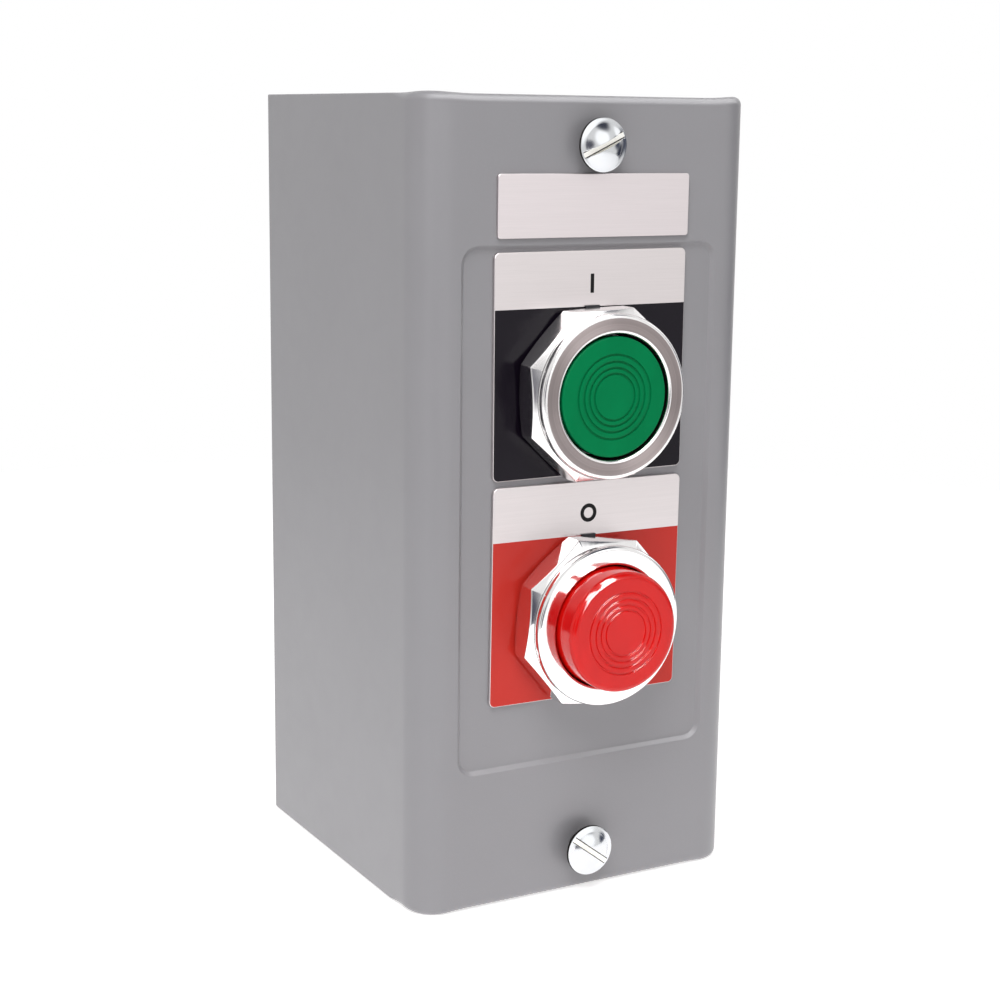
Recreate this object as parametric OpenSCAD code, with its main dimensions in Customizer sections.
// Surface-mounted two-button control station: a folded sheet-steel enclosure
// that carries a flush start operator and an extended stop operator.
// Frame: origin at the middle of the back face, +X right, +Z up, the front
// of the enclosure faces -Y. Depths on the operators are measured forwards
// from the plane of the front face, so behind that plane they are negative.

/* [Enclosure] */
// Width over the cover's sides
body_w = 94; // [94:0.5:100]
// Height over the cover's folded lips
body_h = 202; // [200:1:210]
// Depth from the wall to the front face
body_d = 91.4; // [88:0.2:100]
// Thickness of the sheet steel
sheet_t = 1.5; // [1.2:0.1:1.6]
// Outer radius of the two vertical bends of the cover
side_bend_r = 9; // [7:0.5:9]
// Outer radius of the bend along the top and bottom lips
rim_bend_r = 2; // [1.8:0.1:2.5]
// How far the top and bottom lips reach back from the front face
lip_depth = 16; // [12:1:20]
// Gap between the cover's inside and the base
cover_gap = 0.3; // [0.2:0.05:0.4]

/* [Pressed recess] */
// Width of the recess at the front face
recess_w = 73.4; // [72:0.2:75]
// Height of the recess at the front face
recess_h = 131.6; // [130:0.2:140]
// Corner radius of the recess at the front face
recess_r = 5; // [4:0.5:6]
// Depth of the recess
recess_depth = 1; // [0.8:0.1:1.2]
// Width of the sloping wall of the recess
recess_slope = 1.8; // [1.4:0.2:2.2]

/* [Operator layout] */
// Distance between the two operator axes, 2 1/4 in
pitch = 57.15; // [57.15:0.05:58]
// Height of the middle of the two axes above the enclosure's middle
axis_shift = 0.58; // [-1:0.02:1]
// Radius of the hole for a 30.5 mm operator
panel_hole_r = 15.25; // [15.25:0.01:15.3]
// Button travel
travel = 5; // [4:0.25:5]

/* [Legend plates] */
// Width of a legend plate
plate_w = 54.6; // [53:0.2:56]
// Height of a legend plate
plate_h = 55.3; // [54:0.1:56]
// Height of the plate's top edge above the operator axis
plate_top = 34.65; // [34:0.05:35]
// Thickness of a legend plate
plate_t = 1; // [0.8:0.1:1.2]
// Corner radius of a legend plate
plate_r = 1.5; // [1:0.25:2]
// Small tilt of the start plate about its operator
start_plate_turn = 0.2; // [-1:0.05:1]
// Small tilt of the stop plate about its operator
stop_plate_turn = -0.45; // [-1:0.05:1]

/* [Ring nut] */
// Distance across the flats of the octagon
nut_af = 41.5; // [41.2:0.1:42.2]
// Front edge of the flats
nut_flat_front = 7.6; // [7:0.1:7.8]
// Front face of the bezel ring
bezel_front = 11.7; // [11.4:0.1:12]
// Outer radius of the bezel ring
bezel_r = 20.3; // [20:0.1:20.5]
// Rounding of the bezel ring's outer edge
bezel_edge_r = 1; // [0.8:0.1:1.2]
// Radius of the hole that the cap moves in
bezel_hole_r = 15.5; // [15.4:0.1:16]
// Angle of the octagon on the start operator
start_nut_turn = 2; // [-20:0.5:20]
// Angle of the octagon on the stop operator
stop_nut_turn = -5.5; // [-20:0.5:20]

/* [Button caps] */
// Radius of the flush start cap
start_cap_r = 14.75; // [14.4:0.05:14.9]
// Radius of the extended stop cap
stop_cap_r = 15.1; // [14.5:0.05:15.1]
// Front face of the flush start cap
start_cap_front = 11.2; // [10.8:0.1:11.6]
// Front face of the extended stop cap
stop_cap_front = 18.6; // [15:0.2:22]
// Rounding of the start cap's edge
start_edge_r = 0.5; // [0.4:0.1:1]
// Rounding of the stop cap's edge
stop_edge_r = 1.7; // [0.8:0.1:2]
// Rear edge of both caps' skirts
skirt_back = 8.3; // [8.3:0.1:8.4]

/* [Contact blocks] */
// Width of a contact block
block_w = 38; // [37:0.5:44]
// Height of a contact block
block_h = 26; // [26:0.5:28]
// Depth of the shelf that the terminals lie on
shelf = -43; // [-44:0.5:-43]
// Rear face of a contact block
block_back = -50; // [-54:0.5:-50]
// Gap between contacts that touch
contact_gap = 0.05; // [0.02:0.01:0.1]

/* [Fixings] */
// Distance of each cover screw from the enclosure's middle, 3 1/2 in
cover_screw_z = 89; // [88:0.1:89.6]
// Radius of a cover screw's head
screw_head_r = 6.5; // [6:0.1:7]
// Width between the wall-mounting holes, 2 in
wall_hole_w = 50.8; // [40:0.1:60]
// Height between the wall-mounting holes, 6 in
wall_hole_h = 152.4; // [140:0.1:160]
// Radius of a wall-mounting hole
wall_hole_r = 2.8; // [2.4:0.1:3.5]
// Radius of the half-inch conduit hole
conduit_r = 11.1; // [11.1:0.1:11.3]

/* [Hidden] */
$fn = 96;
eps = 0.02;
start_z = axis_shift + pitch / 2;
stop_z = axis_shift - pitch / 2;

// Cover and base
half_h = body_h / 2;
cover_back = -0.4;
inside_x = body_w / 2 - sheet_t;
base_x = inside_x - cover_gap;
base_z = half_h - sheet_t - 0.4;
end_plate_front = -body_d + 11.4;
flange_d = 12;
base_bend_r = 2.5;
corner_relief = 4;
tab_w = 24;
tab_h = 18;
knockout_y = -45;
knockout_r = 14.2;
knockout_gap = 0.12;
ground_pos = [-24, 0, -56];
ground_r = 2;
ground_washer_t = 1;
ground_head_t = 2.6;

// Cover screws
screw_hole_r = 2.8;
screw_r = 2.4;
screw_len = 16;
screw_stand_top = 2.8;
screw_stand_bottom = 3.7;
screw_shoulder_r = 3.8;
screw_rim = 0.9;
screw_dome_h = 3;
slot_w = 1.6;
slot_depth = 2;

// Nameplate above the recess
nameplate_w = 54.2;
nameplate_h = 15.2;
nameplate_t = 0.8;
nameplate_z = 74.6;

// Stack on the panel, from the recess floor forwards
floor_front = -recess_depth;
plate_front = floor_front + plate_t;
washer_t = 0.5;
washer_front = plate_front + washer_t;
plate_hole_r = 15.35;
washer_r = 20.2;
tab_top = 21.3;
tab_half = 2;
nut_r = nut_af / 2 / cos(22.5);
nut_bore_r = 15.15;
bead_r = 19.9;
bead_round = 0.45;
cone_slope = 0.54;
cone_top_r = bead_r - 0.1;
cone_top = nut_flat_front + (nut_af / 2 - cone_top_r) * cone_slope;
cone_base_r = nut_r + 1;
cone_base = nut_flat_front + (nut_af / 2 - cone_base_r) * cone_slope;
rear_r = 20.1;
rear_base = washer_front + (cone_base_r - rear_r) * cone_slope;
groove_r = 19.7;
lip_r = 0.6;

// Operator, from the panel backwards
panel_back = floor_front - sheet_t;
gasket_t = 1.3;
gasket_back = panel_back - gasket_t;
barrel_r = 15.1;
barrel_front = 3;
flange_r = 19.5;
flange_back = gasket_back - 4;
barrel_back = -23;
bore_r = 11.5;
well_r = 12.5;
well_floor = 0.5;
stop_lip = -1;
stop_lip_r = 9;
lug_t = 4;
lug_w = 12;
lug_y = 20;
lug_hole_y = 16.5;
lug_hole_r = 1.75;
ring_groove_r = 12.4;
ring_groove = [-22.3, -21.1];
seat_front = -18;
seat_back = -21;

// Plunger and cap
stem_r = 6.5;
tail_r = 5;
run_gap = 0.05;
plunger_flange = [-3.2, -1.1];
plunger_back = -22;
cap_top_t = 2;
hub_r = 8.4;
hub_back = 3.5;
skirt_in_r = 13.2;
groove_radii = [5.7, 7.1, 8.6, 10.3];
groove_w = 0.55;
groove_d = 0.4;

// Contact block
block_front = barrel_back - 0.05;
tower_w = 22;
cavity_w = 19;
cavity_h = 20.2;
cavity_front = block_front - 2;
plug_front = block_back + 3;
block_cover_t = 2;
ear_t = 4;
ear_w = 10;
nose_hole_r = 5.3;
nose_r = 4.5;
nose_front = plunger_back - 0.1;
carrier_front = -27;
carrier_back = -40;
carrier_w = 8;
carrier_h = 20;
pocket_r = 3.2;
pocket_front = -32;
pole_y = 6.5;
pole_w = 4.6;
strip_t = 1;
tip_h = 0.8;
tip_r = 1.3;
tip_x = 7;
strip_in_x = 5.5;
strip_leg_x = 10;
strip_out_x = 18.5;
bridge_half = 8.5;
nc_strip_front = -27.5;
nc_bridge_front = nc_strip_front - strip_t - 2 * tip_h - contact_gap;
no_bridge_back = shelf + 2 * tip_h + contact_gap + travel;
terminal_x = 15;
terminal_r = 1.7;
terminal_head_r = 3.2;
clamp_t = 0.8;

// ---------------------------------------------------------------- helpers

// Children are drawn with local Z forwards from the front face and local Y up
module on_axis(z) {
    translate([0, -body_d, z])
        rotate([90, 0, 0])
            children();
}

// 2D rectangle with true arcs at its corners
module rounded(w, h, r) {
    square([w - 2 * r, h], center = true);
    square([w, h - 2 * r], center = true);
    for (x = [-1, 1], y = [-1, 1])
        translate([x * (w / 2 - r), y * (h / 2 - r)])
            circle(r);
}

// A ring or disc between two depths
module ring(r_out, r_in, back, front) {
    translate([0, 0, back])
        linear_extrude(front - back)
            difference() {
                circle(r_out);
                if (r_in > 0)
                    circle(r_in);
            }
}

// A box between two corners
module span(low, high) {
    translate(low)
        cube(high - low);
}

// Sweeps a 2D section round a rounded rectangle; the section's X is outwards
// from the rectangle's outline and its Y is the local Z
module sweep_round(w, h, r) {
    for (k = [0 : 3]) {
        run = (k % 2 == 0) ? h : w;
        side = (k % 2 == 0) ? w : h;
        rotate(90 * k)
            translate([side / 2 - r, run / 2 - r, 0]) {
                rotate([90, 0, 0])
                    linear_extrude(run - 2 * r)
                        translate([r, 0])
                            children();
                rotate_extrude(angle = 90)
                    translate([r, 0])
                        children();
            }
    }
}

// One point on the skin of a coil: turn angle a, position b round the wire
function coil_point(r, wire, rise, a, b) = [
    (r + wire * cos(b)) * cos(a),
    (r + wire * cos(b)) * sin(a),
    rise * a / 360 + wire * sin(b)
];

// A compression spring that stands on z = 0
module coil(r, wire, length, turns) {
    sides = 8;
    steps = turns * 14;
    rise = (length - 2 * wire) / turns;
    points = [
        for (i = [0 : steps], k = [0 : sides - 1])
            coil_point(r, wire, rise, 360 * turns * i / steps, 360 * k / sides)
    ];
    walls = [
        for (i = [0 : steps - 1], k = [0 : sides - 1])
            let (a = i * sides + k, b = i * sides + (k + 1) % sides)
                each [[a, b, a + sides], [b, b + sides, a + sides]]
    ];
    first = [for (k = [0 : sides - 1]) sides - 1 - k];
    last = [for (k = [0 : sides - 1]) steps * sides + k];
    translate([0, 0, wire])
        polyhedron(points, concat([first], walls, [last]));
}

// ---------------------------------------------------------------- enclosure

// Plan of the cover, inset from its outside, with round front corners
module cover_plan(inset, back) {
    r = side_bend_r - inset;
    w = body_w - 2 * inset;
    front = -body_d + inset;
    translate([-w / 2 + r, front])
        square([w - 2 * r, back - front]);
    translate([-w / 2, front + r])
        square([w, back - front - r]);
    for (x = [-1, 1])
        translate([x * (w / 2 - r), front + r])
            circle(r);
}

// Section of the bend between the front and a lip
module rim_section() {
    intersection() {
        difference() {
            circle(rim_bend_r);
            circle(rim_bend_r - sheet_t);
        }
        square(rim_bend_r);
    }
}

// The bent rim and flat lip along the cover's top
module cover_rim() {
    corner_x = body_w / 2 - side_bend_r;
    corner_y = -body_d + side_bend_r;
    path_r = side_bend_r - rim_bend_r;
    lip_back = -body_d + lip_depth;
    rim_z = half_h - rim_bend_r;
    for (s = [0, 1])
        mirror([s, 0, 0])
            translate([corner_x, corner_y, rim_z]) {
                rotate([0, 0, -90])
                    rotate_extrude(angle = 90)
                        translate([path_r, 0])
                            rim_section();
                translate([0, lip_back - corner_y, 0])
                    rotate([90, 0, 0])
                        linear_extrude(lip_back - corner_y)
                            translate([path_r, 0])
                                rim_section();
            }
    translate([corner_x, corner_y, rim_z])
        rotate([0, 0, -90])
            rotate([90, 0, 0])
                linear_extrude(2 * corner_x)
                    translate([path_r, 0])
                        rim_section();
    translate([0, 0, half_h - sheet_t])
        linear_extrude(sheet_t)
            cover_plan(rim_bend_r, lip_back);
}

// Section of the recess's sloping wall: a soft S through the sheet
module slope_section() {
    steps = 8;
    top = [
        for (i = [0 : steps])
            [-recess_slope * i / steps, -recess_depth * (1 - cos(180 * i / steps)) / 2]
    ];
    under = [for (i = [steps : -1 : 0]) [top[i][0], top[i][1] - sheet_t]];
    polygon(concat(top, under));
}

// The pressed panel that carries the operators
module recess_panel() {
    on_axis(0) {
        sweep_round(recess_w, recess_h, recess_r)
            slope_section();
        translate([0, 0, panel_back])
            linear_extrude(sheet_t)
                rounded(
                    recess_w - 2 * recess_slope,
                    recess_h - 2 * recess_slope,
                    recess_r - recess_slope
                );
    }
}

module cover() {
    color("#8f9093")
        difference() {
            union() {
                difference() {
                    translate([0, 0, -half_h + rim_bend_r])
                        linear_extrude(body_h - 2 * rim_bend_r)
                            difference() {
                                cover_plan(0, cover_back);
                                cover_plan(sheet_t, 1);
                            }
                    on_axis(0)
                        translate([0, 0, -sheet_t - 1])
                            linear_extrude(sheet_t + 2)
                                rounded(recess_w, recess_h, recess_r);
                }
                for (s = [0, 1])
                    mirror([0, 0, s]) {
                        cover_rim();
                        for (m = [0, 1])
                            mirror([m, 0, 0])
                                span(
                                    [inside_x, -body_d + lip_depth, half_h - rim_bend_r],
                                    [body_w / 2, cover_back, half_h]
                                );
                    }
                recess_panel();
            }
            for (z = [start_z, stop_z])
                on_axis(z)
                    ring(panel_hole_r, 0, panel_back - 1, 1);
            for (z = [-cover_screw_z, cover_screw_z])
                on_axis(z)
                    ring(screw_hole_r, 0, -sheet_t - 1, 1);
        }
}

// Side view of the base's channel, inset from its outside: X is depth, Y is up
module channel_side(inset, front) {
    r = base_bend_r - inset;
    back = -inset;
    top = base_z - inset;
    translate([front, -top])
        square([back - r - front, 2 * top]);
    translate([front, -top + r])
        square([back - front, 2 * (top - r)]);
    for (s = [-1, 1])
        translate([back - r, s * (top - r)])
            circle(r);
}

// Plan of one side flange with its bend
module flange_plan() {
    translate([base_x - base_bend_r, -base_bend_r])
        intersection() {
            difference() {
                circle(base_bend_r);
                circle(base_bend_r - sheet_t);
            }
            square(base_bend_r);
        }
    translate([base_x - sheet_t, -flange_d])
        square([sheet_t, flange_d - base_bend_r]);
}

// Folded sheet of the base: channel and side flanges with relieved corners
module base_sheet() {
    flange_top = base_z - corner_relief;
    difference() {
        rotate([90, 0, 90])
            translate([0, 0, -base_x])
                linear_extrude(2 * base_x)
                    difference() {
                        channel_side(0, end_plate_front);
                        channel_side(sheet_t, end_plate_front - 1);
                    }
        for (x = [-1, 1])
            translate([x * base_x, 0, 0])
                cube(2 * [base_bend_r, base_bend_r, flange_top], center = true);
    }
    for (s = [0, 1])
        mirror([s, 0, 0])
            translate([0, 0, -flange_top])
                linear_extrude(2 * flange_top)
                    flange_plan();
}

module base() {
    color("#85868a")
        difference() {
            union() {
                base_sheet();
                for (s = [0, 1])
                    mirror([0, 0, s]) {
                        span(
                            [-tab_w / 2, end_plate_front, base_z - tab_h],
                            [tab_w / 2, end_plate_front + sheet_t, base_z]
                        );
                        translate([0, end_plate_front + sheet_t, cover_screw_z])
                            rotate([-90, 0, 0])
                                cylinder(r = screw_r + 1.8, h = 2.5);
                    }
            }
            for (z = [-cover_screw_z, cover_screw_z])
                translate([0, end_plate_front - 1, z])
                    rotate([-90, 0, 0])
                        cylinder(r = screw_r + run_gap, h = 8);
            for (z = [-base_z, base_z])
                translate([0, knockout_y, z])
                    cylinder(r = knockout_r, h = 4 * sheet_t, center = true);
            for (x = [-wall_hole_w / 2, wall_hole_w / 2], z = [-wall_hole_h / 2, wall_hole_h / 2])
                translate([x, 0, z])
                    rotate([90, 0, 0])
                        cylinder(r = wall_hole_r, h = 4 * sheet_t, center = true);
            translate(ground_pos)
                rotate([90, 0, 0])
                    cylinder(r = ground_r + run_gap, h = 4 * sheet_t, center = true);
        }
}

// A slotted screw whose domed head stands off the front face on a shoulder
module domed_screw(turn, stand) {
    dome_r = (screw_head_r * screw_head_r + screw_dome_h * screw_dome_h) / (2 * screw_dome_h);
    top = stand + screw_dome_h;
    difference() {
        union() {
            rotate_extrude()
                intersection() {
                    translate([0, top - dome_r])
                        circle(dome_r);
                    translate([0, stand])
                        square([screw_head_r, screw_dome_h]);
                }
            ring(screw_head_r, 0, stand, stand + screw_rim);
            ring(screw_shoulder_r, 0, 0, stand + 0.1);
            ring(screw_r, 0, -screw_len, 0.1);
        }
        rotate(turn)
            translate([0, 0, top])
                cube([3 * screw_head_r, slot_w, 2 * slot_depth], center = true);
    }
}

module cover_screws() {
    color("#c9d3da") {
        on_axis(cover_screw_z)
            domed_screw(27, screw_stand_top);
        on_axis(-cover_screw_z)
            domed_screw(-31, screw_stand_bottom);
    }
}

// Push-on washers that keep the screws in the cover
module screw_retainers() {
    color("#e9e6dc")
        for (z = [-cover_screw_z, cover_screw_z])
            on_axis(z)
                ring(5.5, screw_r + run_gap, -sheet_t - 1.1, -sheet_t - 0.1);
}

module nameplate() {
    color("#c4c5c7")
        on_axis(nameplate_z)
            linear_extrude(nameplate_t)
                rounded(nameplate_w, nameplate_h, 0.8);
}

// The larger knockout's ring; the smaller hole stays inside it
module knockout_ring(z) {
    translate([0, knockout_y, z])
        ring(knockout_r - knockout_gap, conduit_r, 0, sheet_t);
}

module top_knockout() {
    color("#85868a") {
        knockout_ring(base_z - sheet_t);
        translate([0, knockout_y, base_z - sheet_t])
            ring(conduit_r - knockout_gap, 0, 0, sheet_t);
    }
}

module bottom_knockout_ring() {
    color("#85868a")
        knockout_ring(-base_z);
}

module ground_screw() {
    color("#3f9a55")
        translate(ground_pos)
            rotate([90, 0, 0]) {
                cylinder(r = ground_r, h = sheet_t + ground_washer_t + 1);
                translate([0, 0, sheet_t + ground_washer_t])
                    cylinder(r = 4.2, h = ground_head_t, $fn = 6);
            }
}

module ground_washer() {
    color("#c9b26a")
        translate(ground_pos)
            rotate([90, 0, 0])
                ring(5.4, ground_r + run_gap, sheet_t, sheet_t + ground_washer_t);
}

// ---------------------------------------------------------------- operator

module legend_plate(z, turn, shade) {
    color(shade)
        on_axis(z)
            translate([0, 0, floor_front])
                rotate(turn)
                    linear_extrude(plate_t)
                        difference() {
                            translate([0, plate_top - plate_h / 2])
                                rounded(plate_w, plate_h, plate_r);
                            circle(plate_hole_r);
                        }
}

// Thin washer whose tab shows above the nut and keeps the plate upright
module locating_washer(z, turn) {
    color("#2a2a2c")
        on_axis(z)
            translate([0, 0, plate_front])
                rotate(turn)
                    linear_extrude(washer_t)
                        difference() {
                            union() {
                                circle(washer_r);
                                translate([-tab_half, 0])
                                    square([2 * tab_half, tab_top]);
                            }
                            circle(plate_hole_r);
                        }
}

// Section of the bezel above the octagon: bead, groove and round-edged ring
module bezel_section() {
    shoulder = bezel_front - bezel_edge_r;
    bead_mid = cone_top + 0.5;
    ring_back = bead_mid + 0.9;
    square([groove_r, shoulder]);
    translate([bead_r - bead_round, bead_mid])
        circle(bead_round);
    translate([0, ring_back])
        square([bezel_r, shoulder - ring_back]);
    translate([bezel_r - bezel_edge_r, shoulder])
        circle(bezel_edge_r);
    square([bezel_r - bezel_edge_r, bezel_front]);
}

module ring_nut(z, turn) {
    color("#d9dadc")
        on_axis(z)
            difference() {
                union() {
                    intersection() {
                        translate([0, 0, washer_front])
                            rotate(turn + 22.5)
                                cylinder(r = nut_r, h = 10, $fn = 8);
                        rotate_extrude()
                            polygon([
                                [0, washer_front - 1],
                                [rear_r, washer_front - 1],
                                [rear_r, washer_front],
                                [cone_base_r, rear_base],
                                [cone_base_r, cone_base],
                                [cone_top_r, cone_top],
                                [0, cone_top]
                            ]);
                    }
                    rotate_extrude()
                        intersection() {
                            bezel_section();
                            translate([0, washer_front])
                                square([2 * bezel_r, bezel_front - washer_front]);
                        }
                }
                ring(nut_bore_r, 0, washer_front - 1, barrel_front + 1);
                ring(bezel_hole_r, 0, barrel_front + 0.1, bezel_front + 1);
                rotate_extrude()
                    polygon([
                        [0, bezel_front - lip_r],
                        [bezel_hole_r, bezel_front - lip_r],
                        [bezel_hole_r + lip_r, bezel_front],
                        [bezel_hole_r + lip_r, bezel_front + 1],
                        [0, bezel_front + 1]
                    ]);
            }
}

module panel_gasket(z) {
    color("#1d1d1f")
        on_axis(z)
            ring(flange_r - 0.2, panel_hole_r + 0.05, gasket_back, panel_back);
}

// Threaded bushing with its flange, stop lip, bore and mounting lugs
module bushing(z) {
    color("#b7b9bb")
        on_axis(z)
            difference() {
                union() {
                    ring(barrel_r, 0, gasket_back - 1, barrel_front);
                    ring(flange_r, 0, flange_back, gasket_back);
                    ring(bore_r + 5, 0, barrel_back, flange_back + 1);
                    span(
                        [-lug_w / 2, -lug_y, barrel_back],
                        [lug_w / 2, lug_y, barrel_back + lug_t]
                    );
                }
                ring(well_r, 0, well_floor, barrel_front + 1);
                ring(stop_lip_r, 0, stop_lip - 1, barrel_front);
                ring(bore_r, 0, barrel_back - 1, stop_lip);
                ring(ring_groove_r, 0, ring_groove[0], ring_groove[1]);
                for (y = [-lug_hole_y, lug_hole_y])
                    translate([0, y, 0])
                        ring(lug_hole_r, 0, barrel_back - 1, barrel_back + lug_t + 1);
            }
}

// Cup-shaped cap with a hub, a rounded edge and concentric finger grooves
module cap(z, r, front, edge_r, shade) {
    color(shade)
        on_axis(z)
            rotate_extrude()
                difference() {
                    union() {
                        translate([0, skirt_back])
                            square([r, front - edge_r - skirt_back]);
                        translate([0, skirt_back])
                            square([r - edge_r, front - skirt_back]);
                        translate([r - edge_r, front - edge_r])
                            circle(edge_r);
                        translate([0, hub_back])
                            square([hub_r, front - cap_top_t - hub_back]);
                    }
                    translate([hub_r, skirt_back - 1])
                        square([skirt_in_r - hub_r, front - cap_top_t - skirt_back + 1]);
                    translate([0, hub_back - 1])
                        square([stem_r + run_gap, front - cap_top_t - hub_back + 1]);
                    for (g = groove_radii)
                        translate([g - groove_w / 2, front - groove_d])
                            square([groove_w, 1]);
                }
}

module plunger(z, front) {
    color("#e6e2d3")
        on_axis(z) {
            ring(stem_r, 0, plunger_flange[1] - 1, front - cap_top_t - run_gap);
            ring(bore_r - run_gap, 0, plunger_flange[0], plunger_flange[1]);
            ring(tail_r, 0, plunger_back, plunger_flange[0] + 1);
        }
}

// Rubber seal between the bushing's well and the cap's hub
module diaphragm(z) {
    foot = well_floor + 0.8;
    collar = [4.6, 6.2];
    thin = 0.6;
    in_r = hub_r + run_gap;
    color("#26262a")
        on_axis(z)
            rotate_extrude()
                polygon([
                    [well_r - 0.1, well_floor],
                    [well_r - 0.1, foot],
                    [10.4, foot],
                    [in_r + thin + 0.2, collar[0] + 0.3],
                    [in_r + thin + 0.2, collar[1]],
                    [in_r, collar[1]],
                    [in_r, collar[0]],
                    [9.7, foot],
                    [9.7, well_floor]
                ]);
}

module return_spring(z) {
    length = plunger_flange[0] - seat_front - 0.1;
    color("#9a9ca0")
        on_axis(z)
            translate([0, 0, seat_front + 0.05])
                coil(8.5, 0.7, length, 5);
}

module spring_seat(z) {
    color("#3a3b3e")
        on_axis(z)
            ring(bore_r - run_gap, tail_r + run_gap, seat_back, seat_front);
}

// C-shaped ring that holds the spring seat in the bushing
module retaining_ring(z) {
    color("#8f9195")
        on_axis(z)
            difference() {
                ring(ring_groove_r - 0.1, 10.4, ring_groove[0] + 0.1, ring_groove[1] - 0.1);
                span(
                    [-3, -ring_groove_r - 1, ring_groove[0] - 1],
                    [3, 0, ring_groove[1] + 1]
                );
            }
}

// ------------------------------------------------------------ contact block

// Section in X and depth of a normally closed contact strip
module nc_strip_section() {
    back = shelf - strip_t;
    leg_front = nc_strip_front - strip_t;
    polygon([
        [strip_in_x, leg_front],
        [strip_in_x, nc_strip_front],
        [strip_leg_x + strip_t, nc_strip_front],
        [strip_leg_x + strip_t, shelf],
        [strip_out_x, shelf],
        [strip_out_x, back],
        [strip_leg_x, back],
        [strip_leg_x, leg_front]
    ]);
}

// Stands a section drawn in X and depth on the pole at height y
module at_pole(y, w) {
    translate([0, y + w / 2, 0])
        rotate([90, 0, 0])
            linear_extrude(w)
                children();
}

module block_housing(z) {
    slot_w_up = pole_w + 0.1;
    wall_x = cavity_w / 2 - 0.1;
    leg_x = strip_leg_x + strip_t + run_gap;
    color("#33353a")
        on_axis(z)
            difference() {
                union() {
                    span(
                        [-block_w / 2, -block_h / 2, shelf],
                        [block_w / 2, block_h / 2, block_front]
                    );
                    span(
                        [-tower_w / 2, -block_h / 2, block_back],
                        [tower_w / 2, block_h / 2, shelf + 1]
                    );
                    span(
                        [-block_w / 2, -1, shelf - 5],
                        [block_w / 2, 1, shelf + 1]
                    );
                    span(
                        [-ear_w / 2, -lug_y, block_front - ear_t],
                        [ear_w / 2, lug_y, block_front]
                    );
                }
                span(
                    [-cavity_w / 2, -cavity_h / 2, block_back - 1],
                    [cavity_w / 2, cavity_h / 2, cavity_front]
                );
                ring(nose_hole_r, 0, cavity_front - 1, block_front + 1);
                for (y = [-lug_hole_y, lug_hole_y])
                    translate([0, y, 0])
                        ring(lug_hole_r + 0.05, 0, block_front - ear_t - 1, block_front + 1);
                for (m = [0, 1])
                    mirror([m, 0, 0]) {
                        span(
                            [wall_x, -pole_y - slot_w_up / 2, shelf - strip_t - run_gap],
                            [leg_x, -pole_y + slot_w_up / 2, nc_strip_front + run_gap]
                        );
                        span(
                            [wall_x, pole_y - slot_w_up / 2, shelf - strip_t - run_gap],
                            [leg_x, pole_y + slot_w_up / 2, shelf]
                        );
                        for (y = [-pole_y, pole_y])
                            translate([terminal_x, y, 0])
                                ring(terminal_r + run_gap, 0, shelf - 1, shelf + 7);
                    }
            }
}

// Rear lid whose plug closes the housing's cavity
module block_cover(z) {
    color("#4a4c52")
        on_axis(z) {
            span(
                [-tower_w / 2, -block_h / 2, block_back - block_cover_t],
                [tower_w / 2, block_h / 2, block_back]
            );
            span(
                [-cavity_w / 2 + 0.1, -cavity_h / 2 + 0.1, block_back - 1],
                [cavity_w / 2 - 0.1, cavity_h / 2 - 0.1, plug_front]
            );
        }
}

// Window in the carrier for one bridge and its spring
module carrier_window(y, back, front) {
    span(
        [-carrier_w, y - pole_w / 2 - 0.05, back],
        [carrier_w, y + pole_w / 2 + 0.05, front]
    );
}

nc_window = [nc_bridge_front - 4.9, nc_bridge_front + 0.05];
no_window = [no_bridge_back - 0.05, no_bridge_back + 4.9];

module contact_carrier(z) {
    color("#e9e4d6")
        on_axis(z)
            difference() {
                union() {
                    ring(nose_r, 0, carrier_front - 1, nose_front);
                    span(
                        [-carrier_w / 2, -carrier_h / 2, carrier_back],
                        [carrier_w / 2, carrier_h / 2, carrier_front]
                    );
                }
                ring(pocket_r, 0, carrier_back - 1, pocket_front);
                carrier_window(-pole_y, nc_window[0], nc_window[1]);
                carrier_window(pole_y, no_window[0], no_window[1]);
            }
}

// A bridge plate with a contact tip at each end, tips towards +Z
module bridge() {
    span([-bridge_half, -pole_w / 2, -strip_t], [bridge_half, pole_w / 2, 0]);
    for (x = [-tip_x, tip_x])
        translate([x, 0, -eps])
            cylinder(r = tip_r, h = tip_h + eps);
}

module contact_bridges(z) {
    color("#c98d4b")
        on_axis(z) {
            translate([0, -pole_y, nc_bridge_front])
                bridge();
            translate([0, pole_y, no_bridge_back])
                mirror([0, 0, 1])
                    bridge();
        }
}

module contact_springs(z) {
    nc_back = nc_window[0] + 0.05;
    no_back = no_bridge_back + strip_t + 0.05;
    color("#a8aaae")
        on_axis(z) {
            translate([0, -pole_y, nc_back])
                coil(1.6, 0.25, nc_bridge_front - strip_t - 0.05 - nc_back, 4);
            translate([0, pole_y, no_back])
                coil(1.6, 0.25, no_window[1] - 0.05 - no_back, 4);
        }
}

module carrier_spring(z) {
    color("#a8aaae")
        on_axis(z)
            translate([0, 0, plug_front + 0.05])
                coil(2.5, 0.35, pocket_front - plug_front - 0.1, 8);
}

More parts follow.
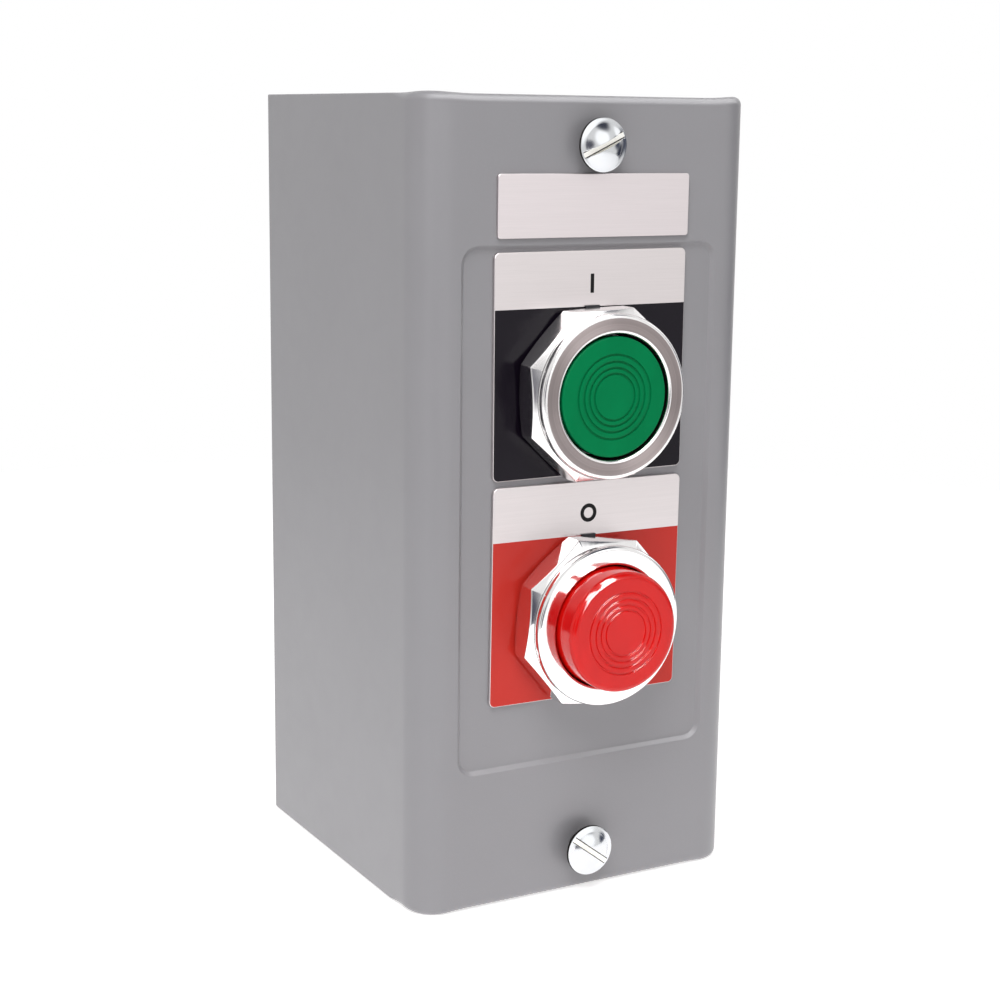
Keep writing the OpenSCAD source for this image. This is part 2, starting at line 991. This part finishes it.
// Four fixed contacts, each a strip that runs from its tip to its terminal
module fixed_contacts(z) {
    color("#c9a35a")
        on_axis(z)
            for (m = [0, 1])
                mirror([m, 0, 0]) {
                    difference() {
                        union() {
                            at_pole(-pole_y, pole_w)
                                nc_strip_section();
                            translate([tip_x, -pole_y, nc_strip_front - strip_t - tip_h])
                                cylinder(r = tip_r, h = tip_h + eps);
                        }
                        translate([terminal_x, -pole_y, 0])
                            ring(terminal_r + run_gap, 0, shelf - 2, shelf + 1);
                    }
                    difference() {
                        union() {
                            span(
                                [strip_in_x, pole_y - pole_w / 2, shelf - strip_t],
                                [strip_out_x, pole_y + pole_w / 2, shelf]
                            );
                            translate([tip_x, pole_y, shelf - eps])
                                cylinder(r = tip_r, h = tip_h + eps);
                        }
                        translate([terminal_x, pole_y, 0])
                            ring(terminal_r + run_gap, 0, shelf - 2, shelf + 1);
                    }
                }
}

// Repeats its children on a block's four terminals
module each_terminal() {
    for (x = [-terminal_x, terminal_x], y = [-pole_y, pole_y])
        translate([x, y, shelf - strip_t])
            children();
}

module wire_clamps(z) {
    color("#d0d2d4")
        on_axis(z)
            each_terminal()
                difference() {
                    span([-3.2, -2.9, -clamp_t], [3.2, 2.9, 0]);
                    ring(terminal_r + run_gap, 0, -2, 1);
                }
}

module terminal_screws(z) {
    color("#d0d2d4")
        on_axis(z)
            each_terminal()
                difference() {
                    union() {
                        ring(terminal_head_r, 0, -clamp_t - 2, -clamp_t);
                        ring(terminal_r, 0, -clamp_t - 1, 6.5);
                    }
                    span([-4, -0.4, -clamp_t - 3], [4, 0.4, -clamp_t - 1.1]);
                }
}

// Long screws that hold the block to the bushing's lugs
module block_screws(z) {
    back = block_front - ear_t;
    color("#b9bbbe")
        on_axis(z)
            for (y = [-lug_hole_y, lug_hole_y])
                translate([0, y, 0])
                    difference() {
                        union() {
                            ring(3, 0, back - 2, back);
                            ring(lug_hole_r - 0.05, 0, back - 1, barrel_back + lug_t - 0.5);
                        }
                        span([-4, -0.4, back - 3], [4, 0.4, back - 1]);
                    }
}

// ---------------------------------------------------------------- drawing

black = "#2b2b30";
red = "#c4302d";
green = "#0e8a4f";
cap_red = "#d9302c";

cover();
base();
cover_screws();
screw_retainers();
nameplate();
top_knockout();
bottom_knockout_ring();
ground_screw();
ground_washer();

legend_plate(start_z, start_plate_turn, black);  // start_legend_plate
locating_washer(start_z, start_plate_turn);  // start_locating_washer
ring_nut(start_z, start_nut_turn);  // start_ring_nut
panel_gasket(start_z);  // start_panel_gasket
bushing(start_z);  // start_bushing
cap(start_z, start_cap_r, start_cap_front, start_edge_r, green);  // start_cap
plunger(start_z, start_cap_front);  // start_plunger
diaphragm(start_z);  // start_diaphragm
return_spring(start_z);  // start_return_spring
spring_seat(start_z);  // start_spring_seat
retaining_ring(start_z);  // start_retaining_ring
block_housing(start_z);  // start_block_housing
block_cover(start_z);  // start_block_cover
contact_carrier(start_z);  // start_contact_carrier
contact_bridges(start_z);  // start_contact_bridges
contact_springs(start_z);  // start_contact_springs
carrier_spring(start_z);  // start_carrier_spring
fixed_contacts(start_z);  // start_fixed_contacts
terminal_screws(start_z);  // start_terminal_screws
wire_clamps(start_z);  // start_wire_clamps
block_screws(start_z);  // start_block_screws

legend_plate(stop_z, stop_plate_turn, red);  // stop_legend_plate
locating_washer(stop_z, stop_plate_turn);  // stop_locating_washer
ring_nut(stop_z, stop_nut_turn);  // stop_ring_nut
panel_gasket(stop_z);  // stop_panel_gasket
bushing(stop_z);  // stop_bushing
cap(stop_z, stop_cap_r, stop_cap_front, stop_edge_r, cap_red);  // stop_cap
plunger(stop_z, stop_cap_front);  // stop_plunger
diaphragm(stop_z);  // stop_diaphragm
return_spring(stop_z);  // stop_return_spring
spring_seat(stop_z);  // stop_spring_seat
retaining_ring(stop_z);  // stop_retaining_ring
block_housing(stop_z);  // stop_block_housing
block_cover(stop_z);  // stop_block_cover
contact_carrier(stop_z);  // stop_contact_carrier
contact_bridges(stop_z);  // stop_contact_bridges
contact_springs(stop_z);  // stop_contact_springs
carrier_spring(stop_z);  // stop_carrier_spring
fixed_contacts(stop_z);  // stop_fixed_contacts
terminal_screws(stop_z);  // stop_terminal_screws
wire_clamps(stop_z);  // stop_wire_clamps
block_screws(stop_z);  // stop_block_screws
